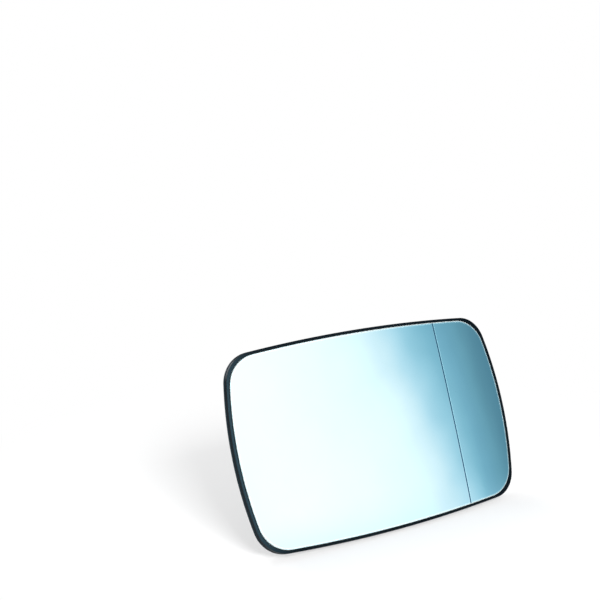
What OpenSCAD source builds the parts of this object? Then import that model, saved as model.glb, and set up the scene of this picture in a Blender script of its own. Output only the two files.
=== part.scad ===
// Door mirror glass: a convex glass with an aspheric outer zone, its heater foil,
// and the clip-on carrier plate. Millimetres. X is right as seen from the face,
// Z is up, the face looks along -Y. The origin is on the hub bore's axis, at its mouth.

/* [Glass] */
// Overall width of the glass
glass_w = 168; // [140:1:200]
// Overall height of the glass
glass_h = 104.4; // [90:0.2:130]
// Thickness of the glass
glass_t = 2; // [1.6:0.1:3]
// Radius of the left side's shallow arc
side_r_left = 192.5; // [120:0.5:400]
// Radius of the right side's shallow arc
side_r_right = 193.5; // [120:0.5:400]
// Radius of the top and bottom arcs
long_r = 890; // [500:5:1500]
// Where the top and bottom arcs are highest, from the middle
crest_x = -10; // [-30:1:30]
// Corner radius on the left
corner_r_left = 17.7; // [8:0.1:30]
// Corner radius on the right
corner_r_right = 16.7; // [8:0.1:30]
// Radius of the convex face
face_r = 1400; // [900:50:2400]
// Where the aspheric zone starts
zone_x = 49.1; // [30:0.1:70]
// Tightest radius across the aspheric zone, at its outer end
zone_end_r = 260; // [180:10:900]
// Width of the etched dividing line
line_w = 0.5; // [0.3:0.05:1]
// Depth of the etched dividing line
line_d = 0.08; // [0.05:0.01:0.3]
// Width of the ground seam round the edge
seam = 0.4; // [0.2:0.05:0.8]

/* [Heater foil] */
// Thickness of the foil with its adhesive
foil_t = 0.5; // [0.3:0.05:0.8]
// How far the foil stays inside the glass edge
foil_inset = 5; // [2:0.5:12]

/* [Carrier plate] */
// Thickness of the plate
plate_t = 2; // [1.6:0.1:3]
// Width of the lip along the long sides of the glass
lip_w = 1.5; // [1:0.05:3]
// Width of the lip at the left end
lip_left = 1.75; // [1:0.05:3]
// Width of the lip at the right end
lip_right = 2.05; // [1:0.05:3]
// How far the lip's face lies behind the glass face
lip_back = 0.2; // [0:0.05:0.6]
// Corner radius of the lip's outside on the left
lip_r_left = 17; // [10:0.1:30]
// Corner radius of the lip's outside on the right
lip_r_right = 15.2; // [10:0.1:30]
// Depth where the flange at the back of the wall begins, from the glass face
flange_from = 2.5; // [2:0.1:3]
// Depth where that flange ends
flange_to = 3.5; // [3:0.1:4.4]
// How far the flange stands out past the lip
flange_out = 0.3; // [0.1:0.05:1]
// Thickness of the ribs on the back
rib_t = 1.6; // [1.2:0.1:2.4]
// Height of the ribs on the back
rib_h = 3; // [1:0.5:6]

/* [Hub] */
// Radius of the hub's bore
bore_r = 21; // [16:0.5:26]
// Length of the bore
bore_len = 8; // [5:0.5:12]
// Wall thickness of the hub
hub_wall = 2; // [1.6:0.1:3]
// Radius to the inside of the snap fingers
finger_r = 27; // [25:0.5:32]
// Thickness of a snap finger
finger_t = 1.6; // [1.2:0.1:2.2]
// Angle that one finger covers
finger_deg = 26; // [15:1:40]
// How far a finger's hook stands out
hook_out = 1.2; // [0.6:0.1:2]
// Radius to the middle of the seat pads
pad_r = 39; // [35:0.5:45]
// How far the seat pads stand behind the bore's mouth
pad_up = 2; // [0:0.5:4]
// Angle of the seat pads and their ribs from the level
pad_angle = 38; // [34:1:50]
// Radius of a seat pad
pad_size = 3.6; // [3:0.1:4.5]
// Length of the web across a seat pad
web_len = 13; // [9:0.5:16]
// How far that web stays behind the pad's face
web_back = 5.5; // [3:0.5:6]

/* [Terminals] */
// Width of a blade
blade_w = 6.3; // [4.8:0.1:6.3]
// Thickness of a blade
blade_t = 0.8; // [0.5:0.1:0.8]
// Length of a blade behind its foot
blade_len = 8.5; // [6:0.5:10]
// Distance between the blades
blade_gap = 20; // [16:1:30]
// Where the pair of blades stands, across
blade_x = 17; // [-30:1:30]
// Height of the pair of blades above the lower edge of the glass
blade_up = 12.2; // [11.2:0.2:14]

/* [Hidden] */
$fn = 96;

// clearance on each side of the foil, between curved faces
fit_gap = 0.05;
// clearance between the glass edge and the lip
edge_gap = 0.1;
// depths behind the middle of the glass face
foil_top = glass_t + fit_gap;
foil_end = foil_top + foil_t;
plate_top = foil_end + fit_gap;
plate_end = plate_top + plate_t;
// height of the glass face above the bore's mouth
face_h = plate_end + bore_len;
// the curved layers reach this far past the glass, and the cutters this far down and up
over = 9;
deep = 2 * face_h;
// where the blades stand
blade_z = blade_up - glass_h / 2;
// the windows' clearance beside a blade, their half height, and their frames' wall
window_side = 1.85;
window_half = 5.5;
frame_t = 1.4;
// how far the rib along the edge lies inside the glass edge
edge_rib = 2;
// radius and depth of the marks that ejector pins leave, and their places from the edges
mark_r = 2.2;
mark_d = 0.25;
mark_in = 14;
mark_x = 39;
mark_y = 22;
// how deep the ribs and frames are rooted in the plate, past any mark
root = mark_d + 0.05;
// the directions of the seat pads
pad_turns = [pad_angle, 180 - pad_angle, 180 + pad_angle, 360 - pad_angle];

// the face's drop away from its middle, along the width
function drop(x) = x * x / (2 * face_r)
  + (1 / zone_end_r - 1 / face_r) / (glass_w / 2 - 4 - zone_x) * pow(max(x - zone_x, 0), 3) / 6;
// and the drop at any point
function drop_at(x, y) = drop(x) + y * y / (2 * face_r);

// where the bands of the curved faces meet
reach = glass_w / 2 + over + 2;
bands = [for (i = [0 : 10]) -reach + i * (zone_x - line_w / 2 + reach) / 10];
outer_bands = [for (i = [0 : 8]) zone_x + line_w / 2 + i * (reach - zone_x - line_w / 2) / 8];
all_bands = concat(bands, outer_bands);

// profile of a layer between two depths, as height over the width
function edge_at(depth, cut) = [for (x = all_bands) [20 - drop(x) - depth, -x]];
function notched(depth) = concat(
  [for (x = bands) [20 - drop(x) - depth, -x]],
  [for (x = [zone_x - line_w / 2 + 0.01, zone_x + line_w / 2 - 0.01])
    [20 - drop(x) - depth - line_d, -x]],
  [for (x = outer_bands) [20 - drop(x) - depth, -x]]);
function reversed(v) = [for (i = [len(v) - 1 : -1 : 0]) v[i]];

// a curved layer, wide enough to be cut to any outline
module layer(from, to, etched = false) {
  sweep = asin((glass_h / 2 + over) / face_r);
  translate([0, 0, face_h - face_r]) rotate([0, -90, 0]) rotate([0, 0, -sweep])
    rotate_extrude(angle = 2 * sweep, $fn = 720) translate([face_r - 20, 0])
      polygon(concat(etched ? notched(from) : edge_at(from), reversed(edge_at(to))));
}

// centre of the corner arc that touches two side arcs from inside
function unit(v) = v / norm(v);
function meet(a, ra, b, rb, s) =
  let (d = norm(b - a), k = (ra * ra - rb * rb + d * d) / (2 * d),
    h = sqrt(max(ra * ra - k * k, 0)), u = (b - a) / d)
  a + k * u + s * h * [-u[1], u[0]];

// points on an arc round c, clockwise from p towards q
function arc(c, r, p, q, n) =
  let (a = atan2(p[1] - c[1], p[0] - c[0]), e = atan2(q[1] - c[1], q[0] - c[0]),
    b = e > a ? e - 360 : e)
  [for (i = [0 : n - 1]) c + r * [cos(a + (b - a) * i / n), sin(a + (b - a) * i / n)]];

// the outline: four shallow arcs joined by corner arcs, grown by w, and by more at the ends
module outline(w, r_left, r_right, more_left = 0, more_right = 0) {
  left = [side_r_left - glass_w / 2, 0];
  right = [glass_w / 2 - side_r_right, 0];
  low = [crest_x, glass_h / 2 - long_r];
  high = [crest_x, long_r - glass_h / 2];
  end_left = side_r_left + w + more_left;
  end_right = side_r_right + w + more_right;
  tl = meet(left, end_left - r_left, low, long_r + w - r_left, -1);
  tr = meet(right, end_right - r_right, low, long_r + w - r_right, 1);
  bl = [tl[0], -tl[1]];
  br = [tr[0], -tr[1]];
  polygon(concat(
    arc(low, long_r + w, tl, tr, 15),
    arc(tr, r_right, 2 * tr - low, 2 * tr - right, 14),
    arc(right, end_right, tr, br, 10),
    arc(br, r_right, 2 * br - right, 2 * br - high, 14),
    arc(high, long_r + w, br, bl, 15),
    arc(bl, r_left, 2 * bl - high, 2 * bl - left, 14),
    arc(left, end_left, bl, tl, 10),
    arc(tl, r_left, 2 * tl - left, 2 * tl - low, 14)));
}

// the glass outline, moved inwards
module inset_outline(d) {
  outline(-d, corner_r_left - d, corner_r_right - d);
}

// a prism on the glass outline, grown by w
module glass_prism(w) {
  translate([0, 0, -deep]) linear_extrude(height = 2 * deep)
    outline(w, corner_r_left + w, corner_r_right + w);
}

// and one on the lip's own outline, which has tighter corners
module lip_prism(w) {
  translate([0, 0, -deep]) linear_extrude(height = 2 * deep)
    outline(lip_w + w, lip_r_left + w, lip_r_right + w,
      lip_left - lip_w, lip_right - lip_w);
}

// turns a part drawn face up into the way it stands in the car
module upright() {
  rotate([90, 0, 0]) children();
}

module mirror_glass() {
  color([0.62, 0.78, 0.84]) upright() {
    intersection() {
      layer(seam / 2, glass_t - seam / 2);
      glass_prism(0);
    }
    intersection() {
      layer(0, seam, true);
      glass_prism(-seam);
    }
    intersection() {
      layer(glass_t - seam, glass_t);
      glass_prism(-seam / 2);
    }
  }
}

module heater_foil() {
  color([0.36, 0.30, 0.22]) upright() difference() {
    intersection() {
      layer(foil_top, foil_end);
      glass_prism(-foil_inset);
    }
    for (s = [-1, 1]) translate([blade_x + s * blade_gap / 2, blade_z - 2, 0])
      cylinder(r = 1.3, h = face_h);
  }
}

// a straight rib seen in plan, from one radius to another
module rib_plan(angle, from, to) {
  rotate([0, 0, angle]) translate([from, -rib_t / 2]) square([to - from, rib_t]);
}

module ribs() {
  difference() {
    intersection() {
      layer(plate_end - root, plate_end + rib_h);
      translate([0, 0, -deep]) linear_extrude(height = 2 * deep) {
        for (a = concat(pad_turns, [0, 180])) rib_plan(a, bore_r + hub_wall / 2, glass_w / 2);
        for (a = [90, 270]) rib_plan(a, bore_r + hub_wall / 2, glass_h / 2);
        for (s = [-1, 1]) translate([s * glass_w / 3 - rib_t / 2, -glass_h / 2])
          square([rib_t, glass_h]);
      }
    }
    translate([0, 0, -deep]) linear_extrude(height = 2 * deep) difference() {
      square([2 * glass_w, 2 * glass_h], center = true);
      inset_outline(edge_rib + rib_t - 0.1);
    }
    windows(frame_t);
  }
}

// the openings that the blades stand in
module windows(w) {
  half_w = blade_w / 2 + window_side + w;
  half_h = window_half + w;
  for (s = [-1, 1]) translate([blade_x + s * blade_gap / 2 - half_w, blade_z - half_h, -deep])
    cube([2 * half_w, 2 * half_h, 2 * deep]);
}

// one snap finger with its outward hook
module finger() {
  rotate([0, 0, -finger_deg / 2]) rotate_extrude(angle = finger_deg) polygon([
    [finger_r, bore_len + 1], [finger_r + finger_t + 0.4, bore_len + 1],
    [finger_r + finger_t, bore_len - 1.5], [finger_r + finger_t, 2.2],
    [finger_r + finger_t + hook_out, 1.6], [finger_r + finger_t + hook_out, 0.9],
    [finger_r + finger_t - 0.2, -1], [finger_r + 0.3, -1], [finger_r, -0.6]]);
}

// a seat pad: a small boss on a rib, with a web across it
module seat_pad() {
  translate([pad_r, 0, -pad_up]) {
    cylinder(r = pad_size, h = bore_len + pad_up + 1);
    translate([-frame_t / 2, -web_len / 2, web_back])
      cube([frame_t, web_len, bore_len + pad_up + 1 - web_back]);
  }
}

// the shallow marks left by the ejector pins
module ejector_marks() {
  intersection() {
    layer(plate_end - mark_d, plate_end + 1);
    translate([0, 0, -deep]) linear_extrude(height = 2 * deep)
      for (s = [-1, 1], t = [-1, 1]) {
        translate([s * (glass_w / 2 - mark_in), t * mark_y]) circle(r = mark_r);
        translate([s * mark_x, t * (glass_h / 2 - mark_in)]) circle(r = mark_r);
      }
  }
}

module carrier_plate() {
  color([0.05, 0.05, 0.055]) upright() difference() {
    union() {
      // the wall with its lip, and the flange at the back of the wall
      intersection() {
        layer(lip_back, flange_to);
        lip_prism(0);
      }
      intersection() {
        layer(flange_from, flange_to);
        lip_prism(flange_out);
      }
      difference() {
        intersection() {
          layer(flange_to - 0.2, plate_end);
          glass_prism(0.4);
        }
        ejector_marks();
      }
      // a rib that follows the edge, then the straight ones
      difference() {
        intersection() {
          layer(plate_end - root, plate_end + rib_h);
          glass_prism(-edge_rib);
        }
        translate([0, 0, -deep]) linear_extrude(height = 2 * deep)
          inset_outline(edge_rib + rib_t);
      }
      ribs();
      // frames round the blade windows
      difference() {
        intersection() {
          layer(plate_end - root, plate_end + rib_h + 1);
          windows(frame_t);
        }
        windows(0);
      }
      // the hub, the snap fingers and the seat pads
      difference() {
        cylinder(r = bore_r + hub_wall, h = bore_len + 1);
        translate([0, 0, -1]) cylinder(r = bore_r, h = bore_len + 1);
      }
      for (a = [0, 90, 180, 270]) rotate([0, 0, a]) finger();
      for (a = pad_turns) rotate([0, 0, a]) seat_pad();
    }
    // the tray that the glass lies in, deeper where the foil is
    intersection() {
      layer(-2, glass_t + fit_gap);
      glass_prism(edge_gap);
    }
    intersection() {
      layer(-2, plate_top);
      glass_prism(0.3 - foil_inset);
    }
    windows(0);
  }
}

// height of a blade's foot, level and just clear of the foil's lowest point over it
function foot_top(x) = face_h - foil_end - fit_gap - drop_at(abs(x) + blade_w / 2, blade_z - 5);

// a blade: a foot riveted to the foil and a tab that stands out of the window
module blade(s) {
  x = blade_x + s * blade_gap / 2;
  top = foot_top(x);
  color([0.78, 0.74, 0.62]) upright() translate([x, blade_z, 0]) difference() {
    union() {
      translate([-blade_w / 2, -5, top - blade_t]) cube([blade_w, 8, blade_t]);
      translate([-blade_w / 2, 3 - blade_t, top - blade_len]) cube([blade_w, blade_t, blade_len]);
    }
    translate([0, -2, top - 3]) cylinder(r = 1.3, h = 4);
    translate([0, 5, top - blade_len + 3]) rotate([90, 0, 0]) cylinder(r = 0.9, h = 5);
    // the tab's bevelled corners
    for (m = [-1, 1]) translate([m * blade_w / 2, 0, top - blade_len])
      rotate([0, 45, 0]) cube([1.6, 20, 1.6], center = true);
  }
}

// a rivet: a head on the blade's foot and a shank through the foil
module rivet(s) {
  x = blade_x + s * blade_gap / 2;
  top = foot_top(x) - blade_t;
  color([0.70, 0.70, 0.68]) upright() translate([x, blade_z - 2, 0]) {
    translate([0, 0, top - 0.7]) cylinder(r1 = 1.6, r2 = 2.1, h = 0.7);
    translate([0, 0, top - 0.1]) cylinder(r = 1.25, h = blade_t + foil_t);
  }
}

module blade_left() { blade(-1); }
module blade_right() { blade(1); }
module rivet_left() { rivet(-1); }
module rivet_right() { rivet(1); }

mirror_glass();
heater_foil();
carrier_plate();
blade_left();
blade_right();
rivet_left();
rivet_right();
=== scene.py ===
import math
import bmesh
import bpy
from mathutils import Matrix, Vector


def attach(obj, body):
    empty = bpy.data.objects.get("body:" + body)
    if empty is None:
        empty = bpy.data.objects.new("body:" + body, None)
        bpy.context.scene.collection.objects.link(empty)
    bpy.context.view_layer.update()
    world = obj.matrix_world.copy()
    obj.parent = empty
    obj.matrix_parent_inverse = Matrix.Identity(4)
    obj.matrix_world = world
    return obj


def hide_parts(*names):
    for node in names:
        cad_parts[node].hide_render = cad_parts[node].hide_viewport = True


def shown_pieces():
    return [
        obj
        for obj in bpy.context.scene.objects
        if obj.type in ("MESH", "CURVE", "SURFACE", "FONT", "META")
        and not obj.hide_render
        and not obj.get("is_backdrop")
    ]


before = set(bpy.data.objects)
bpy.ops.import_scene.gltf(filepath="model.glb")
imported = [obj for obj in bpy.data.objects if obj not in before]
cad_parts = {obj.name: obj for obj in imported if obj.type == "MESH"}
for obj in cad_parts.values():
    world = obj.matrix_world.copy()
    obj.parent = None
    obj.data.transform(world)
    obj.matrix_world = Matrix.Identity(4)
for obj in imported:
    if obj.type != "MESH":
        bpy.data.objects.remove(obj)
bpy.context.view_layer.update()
print("frame loaded:", sorted(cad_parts))

mm = 0.001
sharpFrom = 35.0  # edges bent more than this stay sharp, in degrees
view = bpy.context.scene.view_settings
view.view_transform = "Standard"


# Everything on the plate is drawn face up on the bench: x to the right, y up the
# glass, z towards the face, in millimetres from the hub's mouth. It is then laid
# on the curve of the glass and stood upright.

glass = {
    "width": 168.0,
    "height": 104.4,
    "thick": 2.0,
    "endRadiusLeft": 192.5,
    "endRadiusRight": 193.5,
    "longRadius": 890.0,
    "crestX": -10.0,
    "cornerLeft": 17.7,
    "cornerRight": 16.7,
    "faceRadius": 1400.0,
    "zoneStart": 49.1,
    "zoneEndRadius": 260.0,
    "zoneEnd": 80.0,
    "faceHeight": 12.6,  # above the hub's mouth
    "seam": 0.4,
    "seamLap": 0.05,  # how far the silvering and the line stop short of the seam
    "edgeBand": 0.95,  # the silvering thins this far in from the edge
    "lineWidth": 0.70,
    "lineEdge": (0.35, 0.55),  # bright edges to the left and right of the line
    "lineProud": 0.006,
    "lineDeep": 0.05,
    "lineRows": 60,
    "faceRings": 26,
    "backRings": 10,
}
carrier = {
    "lipWidth": 1.5,
    "lipLeft": 1.75,
    "lipRight": 2.05,
    "lipBack": 0.2,  # behind the glass face
    # across the lip from the glass out: share of its width, how far it falls away
    "lipCrown": ((0.0, 0.42), (0.012, 0.28), (0.05, 0.165), (0.11, 0.085), (0.19, 0.035),
                 (0.29, 0.006), (0.38, 0.0), (0.50, 0.010), (0.62, 0.025), (0.73, 0.045),
                 (0.83, 0.07), (0.91, 0.10), (0.965, 0.14), (0.99, 0.18), (1.0, 0.24)),
    "lipCornerLeft": 17.0,
    "lipCornerRight": 15.2,
    "edgeGap": 0.1,
    "trayIn": 4.7,  # width of the border that the glass lies on
    "trayDepth": 2.05,
    "foilDepth": 2.6,
    "flangeFrom": 2.5,
    "flangeTo": 3.5,
    "flangeOut": 0.3,
    "back": 4.6,  # depth of the plate's back
    "trayRings": 8,
    "backRings": 22,
    "ribThick": 1.6,
    "ribHeight": 3.0,
    "ribSunk": 0.4,  # how much of a rib lies in the plate
    "ribRounding": 0.3,
    "ribStep": 3.0,
    "ribClear": 0.9,  # between a rib's end and a window
    "edgeRibIn": 2.0,
}
arcSteps = {"long": 44, "corner": 22, "end": 24}


def drop(x, y):
    beyond = max(x - glass["zoneStart"], 0.0)
    rate = 1 / glass["zoneEndRadius"] - 1 / glass["faceRadius"]
    rate = rate / (glass["zoneEnd"] - glass["zoneStart"])
    return (x * x + y * y) / (2 * glass["faceRadius"]) + rate * beyond ** 3 / 6


def halfHeight(x):
    # how far the glass reaches up from the middle at x
    long = glass["longRadius"]
    return glass["height"] / 2 - long + math.sqrt(long ** 2 - (x - glass["crestX"]) ** 2)


def arcMeet(a, radiusA, b, radiusB, side):
    # centre of a corner arc, at two given distances from two arc centres
    gap = (b - a).length
    along = (radiusA ** 2 - radiusB ** 2 + gap ** 2) / (2 * gap)
    out = math.sqrt(max(radiusA ** 2 - along ** 2, 0))
    unit = (b - a) / gap
    return a + unit * along + Vector((-unit.y, unit.x)) * side * out


def arcPoints(centre, radius, first, last, steps):
    start = math.atan2(first.y, first.x)
    stop = math.atan2(last.y, last.x)
    if stop > start:
        stop -= 2 * math.pi
    angles = [start + (stop - start) * i / steps for i in range(steps)]
    return [centre + Vector((math.cos(t), math.sin(t))) * radius for t in angles]


def outlinePoints(grow, cornerLeft, cornerRight, moreLeft=0.0, moreRight=0.0):
    # four shallow arcs joined by corner arcs, clockwise from the top left
    left = Vector((glass["endRadiusLeft"] - glass["width"] / 2, 0))
    right = Vector((glass["width"] / 2 - glass["endRadiusRight"], 0))
    low = Vector((glass["crestX"], glass["height"] / 2 - glass["longRadius"]))
    high = Vector((low.x, -low.y))
    endLeft = glass["endRadiusLeft"] + grow + moreLeft
    endRight = glass["endRadiusRight"] + grow + moreRight
    long = glass["longRadius"] + grow
    topLeft = arcMeet(left, endLeft - cornerLeft, low, long - cornerLeft, -1)
    topRight = arcMeet(right, endRight - cornerRight, low, long - cornerRight, 1)
    lowLeft = Vector((topLeft.x, -topLeft.y))
    lowRight = Vector((topRight.x, -topRight.y))
    arcs = ((low, long, "long"), (topRight, cornerRight, "corner"),
            (right, endRight, "end"), (lowRight, cornerRight, "corner"),
            (high, long, "long"), (lowLeft, cornerLeft, "corner"),
            (left, endLeft, "end"), (topLeft, cornerLeft, "corner"))
    points = []
    for i, (centre, radius, kind) in enumerate(arcs):
        # a corner's ends lie away from its neighbours' centres, the others' towards them
        way = -1 if kind == "corner" else 1
        start, stop = [(near[0] - centre) * way for near in (arcs[i - 1], arcs[(i + 1) % 8])]
        points += arcPoints(centre, radius, start, stop, arcSteps[kind])
    return points


def ringAt(depth, *outline):
    return [(p.x, p.y, glass["faceHeight"] - depth) for p in outlinePoints(*outline)]


def glassRing(grow, depth):
    return ringAt(depth, grow, glass["cornerLeft"] + grow, glass["cornerRight"] + grow)


def lipRing(grow, depth):
    c = carrier
    return ringAt(depth, c["lipWidth"] + grow, c["lipCornerLeft"] + grow,
                  c["lipCornerRight"] + grow,
                  c["lipLeft"] - c["lipWidth"], c["lipRight"] - c["lipWidth"])


def shrunkRings(grow, depth, count):
    # rings from an outline in to the middle, at one depth
    ring = glassRing(grow, depth)
    return [[(x * (1 - i / count), y * (1 - i / count), z) for x, y, z in ring]
            for i in range(1, count)]


def addToScene(name, data):
    added = bpy.data.objects.new(name, data)
    bpy.context.scene.collection.objects.link(added)
    return added


def plainObject(name, points, edges, faces):
    # an object with a mesh from points in millimetres
    mesh = bpy.data.meshes.new(name)
    mesh.from_pydata([[c * mm for c in p] for p in points], edges, faces)
    return addToScene(name, mesh)


def newPiece(name, points, faces, sharp=sharpFrom):
    piece = plainObject(name, points, [], faces)
    tidyNormals(piece, sharp)
    return piece


def tidyNormals(piece, sharp):
    work = bmesh.new()
    work.from_mesh(piece.data)
    bmesh.ops.remove_doubles(work, verts=work.verts, dist=1e-7)
    bmesh.ops.recalc_face_normals(work, faces=work.faces)
    work.to_mesh(piece.data)
    work.free()
    piece.data.shade_smooth()
    if sharp is not None:
        piece.data.set_sharp_from_angle(angle=math.radians(sharp))


def wallFaces(stations, count, loop=False):
    # faces that join each station of points to the next
    faces = []
    for s in range(stations if loop else stations - 1):
        a, b = s * count, (s + 1) % stations * count
        for k in range(count):
            n = (k + 1) % count
            faces.append((a + k, a + n, b + n, b + k))
    return faces


def endFaces(stations, count):
    last = (stations - 1) * count
    return [tuple(range(count)), tuple(range(last, last + count))]


def skinRings(name, rings, loop=False, sharp=sharpFrom):
    # joins rings of equal count; the ends close on a point unless the rings loop
    count = len(rings[0])
    points = [p for ring in rings for p in ring]
    faces = wallFaces(len(rings), count, loop)
    if not loop:
        for ring, first in ((rings[0], 0), (rings[-1], (len(rings) - 1) * count)):
            middle = len(points)
            points.append((0.0, 0.0, ring[0][2]))
            for i in range(count):
                faces.append((first + i, middle, first + (i + 1) % count))
    return newPiece(name, points, faces, sharp)


# Nodes, for shapes and for finishes

def setInputs(tree, node, inputs):
    # each input takes a plain value or another node's output
    for name, value in inputs.items():
        if isinstance(value, bpy.types.NodeSocket):
            tree.links.new(value, node.inputs[name])
        else:
            node.inputs[name].default_value = value


def addNode(tree, kind, inputs=None, **settings):
    node = tree.nodes.new(kind)
    for name, value in settings.items():
        setattr(node, name, value)
    setInputs(tree, node, inputs or {})
    return node


def calc(tree, operation, *values):
    return addNode(tree, "ShaderNodeMath", dict(enumerate(values)),
                   operation=operation).outputs[0]


def splitXyz(tree, vector):
    return list(addNode(tree, "ShaderNodeSeparateXYZ", {0: vector}).outputs)


# The shape rule as Geometry Nodes

def addInput(tree, name, kind, value=None):
    socket = tree.interface.new_socket(name=name, in_out="INPUT", socket_type=kind)
    if value is not None:
        socket.default_value = value


def addLengths(tree, lengths):
    for name, length in lengths.items():
        addInput(tree, name, "NodeSocketFloat", length * mm)


def startTree(name):
    tree = bpy.data.node_groups.new(name, "GeometryNodeTree")
    addInput(tree, "Geometry", "NodeSocketGeometry")
    tree.interface.new_socket(name="Geometry", in_out="OUTPUT",
                              socket_type="NodeSocketGeometry")
    addLengths(tree, {"Face Radius": glass["faceRadius"], "Zone Start": glass["zoneStart"],
                      "Zone End": glass["zoneEnd"],
                      "Zone End Radius": glass["zoneEndRadius"]})
    addInput(tree, "Material", "NodeSocketMaterial")
    return tree


def givenValues(tree):
    return {socket.name: socket for socket in addNode(tree, "NodeGroupInput").outputs
            if socket.name}


def standNode(tree, geometry):
    return addNode(tree, "GeometryNodeTransform", {
        "Geometry": geometry, "Rotation": (math.pi / 2, 0, 0)}).outputs[0]


def layAndStand(tree, given, geometry):
    # lowers each point by the drop of the glass face, then stands the part upright
    place = addNode(tree, "GeometryNodeInputPosition").outputs[0]
    x, y = splitXyz(tree, place)[:2]
    square = calc(tree, "ADD", calc(tree, "MULTIPLY", x, x), calc(tree, "MULTIPLY", y, y))
    ball = calc(tree, "DIVIDE", square, calc(tree, "MULTIPLY", given["Face Radius"], 2.0))
    beyond = calc(tree, "MAXIMUM", calc(tree, "SUBTRACT", x, given["Zone Start"]), 0.0)
    rate = calc(tree, "SUBTRACT", calc(tree, "DIVIDE", 1.0, given["Zone End Radius"]),
                calc(tree, "DIVIDE", 1.0, given["Face Radius"]))
    rate = calc(tree, "DIVIDE", rate,
                calc(tree, "SUBTRACT", given["Zone End"], given["Zone Start"]))
    zone = calc(tree, "MULTIPLY", calc(tree, "POWER", beyond, 3.0), rate)
    fall = calc(tree, "ADD", ball, calc(tree, "DIVIDE", zone, 6.0))
    offset = addNode(tree, "ShaderNodeCombineXYZ", {2: calc(tree, "MULTIPLY", fall, -1.0)})
    bend = addNode(tree, "GeometryNodeSetPosition",
                   {"Geometry": geometry, "Offset": offset.outputs[0]})
    return standNode(tree, bend.outputs[0])


def endTree(tree, given, geometry, marks=()):
    # plain mesh out, in its material, and in a material of its own where it is marked
    whole = addNode(tree, "GeometryNodeRealizeInstances", {0: geometry})
    painted = addNode(tree, "GeometryNodeSetMaterial",
                      {"Geometry": whole.outputs[0], "Material": given["Material"]})
    for attribute, title in marks:
        mark = addNode(tree, "GeometryNodeInputNamedAttribute", {"Name": attribute},
                       data_type="BOOLEAN")
        painted = addNode(tree, "GeometryNodeSetMaterial", {
            "Geometry": painted.outputs[0], "Selection": mark.outputs["Attribute"],
            "Material": given[title]})
    addNode(tree, "NodeGroupOutput", {0: painted.outputs[0]})
    return tree


def curvedTree(name, marks=()):
    # for closed pieces that follow the glass
    tree = startTree(name)
    for attribute, title in marks:
        addInput(tree, title, "NodeSocketMaterial")
    given = givenValues(tree)
    return endTree(tree, given, layAndStand(tree, given, given["Geometry"]), marks)


def ribTree():
    # centre lines in, ribs with rounded tops out
    tree = startTree("plateRibs")
    c = carrier
    addLengths(tree, {"Rib Thickness": c["ribThick"], "Rounding": c["ribRounding"],
                      "Rib Height": c["ribHeight"] + c["ribSunk"]})
    given = givenValues(tree)
    lines = addNode(tree, "GeometryNodeMeshToCurve", {0: given["Geometry"]})
    even = addNode(tree, "GeometryNodeResampleCurve", {
        "Curve": lines.outputs[0], "Length": c["ribStep"] * mm}, mode="LENGTH")
    level = addNode(tree, "GeometryNodeSetCurveNormal", {"Curve": even.outputs[0]},
                    mode="Z_UP")
    section = addNode(tree, "GeometryNodeCurvePrimitiveQuadrilateral", {
        "Width": given["Rib Thickness"], "Height": given["Rib Height"]})
    soft = addNode(tree, "GeometryNodeFilletCurve", {
        "Curve": section.outputs[0], "Count": 3, "Radius": given["Rounding"]},
        mode="POLY")
    sweep = addNode(tree, "GeometryNodeCurveToMesh", {
        "Curve": level.outputs[0], "Profile Curve": soft.outputs[0], "Fill Caps": True})
    return endTree(tree, given, layAndStand(tree, given, sweep.outputs[0]))


def copiesTree(name, laid):
    # one small piece set on every point of a mesh, turned by the angle the point holds,
    # and either laid on the curve or left level with the hub
    tree = startTree(name)
    addInput(tree, "Piece", "NodeSocketObject")
    given = givenValues(tree)
    piece = addNode(tree, "GeometryNodeObjectInfo", {"Object": given["Piece"]})
    turn = addNode(tree, "GeometryNodeInputNamedAttribute", {"Name": "turn"},
                   data_type="FLOAT")
    spin = addNode(tree, "ShaderNodeCombineXYZ", {2: turn.outputs["Attribute"]})
    copies = addNode(tree, "GeometryNodeInstanceOnPoints", {
        "Points": given["Geometry"], "Instance": piece.outputs["Geometry"],
        "Rotation": spin.outputs[0]})
    whole = addNode(tree, "GeometryNodeRealizeInstances", {0: copies.outputs[0]}).outputs[0]
    return endTree(tree, given, layAndStand(tree, given, whole) if laid
                   else standNode(tree, whole))


def applyModifiers(piece, sharp=sharpFrom):
    bpy.context.view_layer.update()
    seen = piece.evaluated_get(bpy.context.evaluated_depsgraph_get())
    mesh = bpy.data.meshes.new_from_object(seen)
    piece.modifiers.clear()
    piece.data = mesh
    tidyNormals(piece, sharp)


def applyTree(piece, tree, values, sharp=sharpFrom):
    modifier = piece.modifiers.new("shape", "NODES")
    modifier.node_group = tree
    for item in tree.interface.items_tree:
        if item.in_out == "INPUT" and item.name in values:
            modifier[item.identifier] = values[item.name]
    applyModifiers(piece, sharp)


def dropPiece(piece):
    bpy.data.objects.remove(piece)


# Finishes

patternRange = (0.3, 0.7)  # where nearly all of a noise pattern's values lie


def startMaterial(name):
    material = bpy.data.materials.new(name)
    material.use_nodes = True
    tree = material.node_tree
    return material, tree, tree.nodes["Principled BSDF"]


def objectCoordinates(tree):
    return addNode(tree, "ShaderNodeTexCoord").outputs["Object"]


def placeParts(tree):
    return splitXyz(tree, objectCoordinates(tree))


def normalParts(tree):
    return splitXyz(tree, addNode(tree, "ShaderNodeNewGeometry").outputs["Normal"])


def noise(tree, scale, detail, roughness=0.5):
    return addNode(tree, "ShaderNodeTexNoise", {
        "Scale": scale, "Detail": detail, "Roughness": roughness,
        "Vector": objectCoordinates(tree)}).outputs["Fac"]


def remap(tree, value, low, high, toLow, toHigh):
    return addNode(tree, "ShaderNodeMapRange", {
        "From Min": low, "From Max": high, "To Min": toLow, "To Max": toHigh,
        "Value": value}).outputs["Result"]


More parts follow.
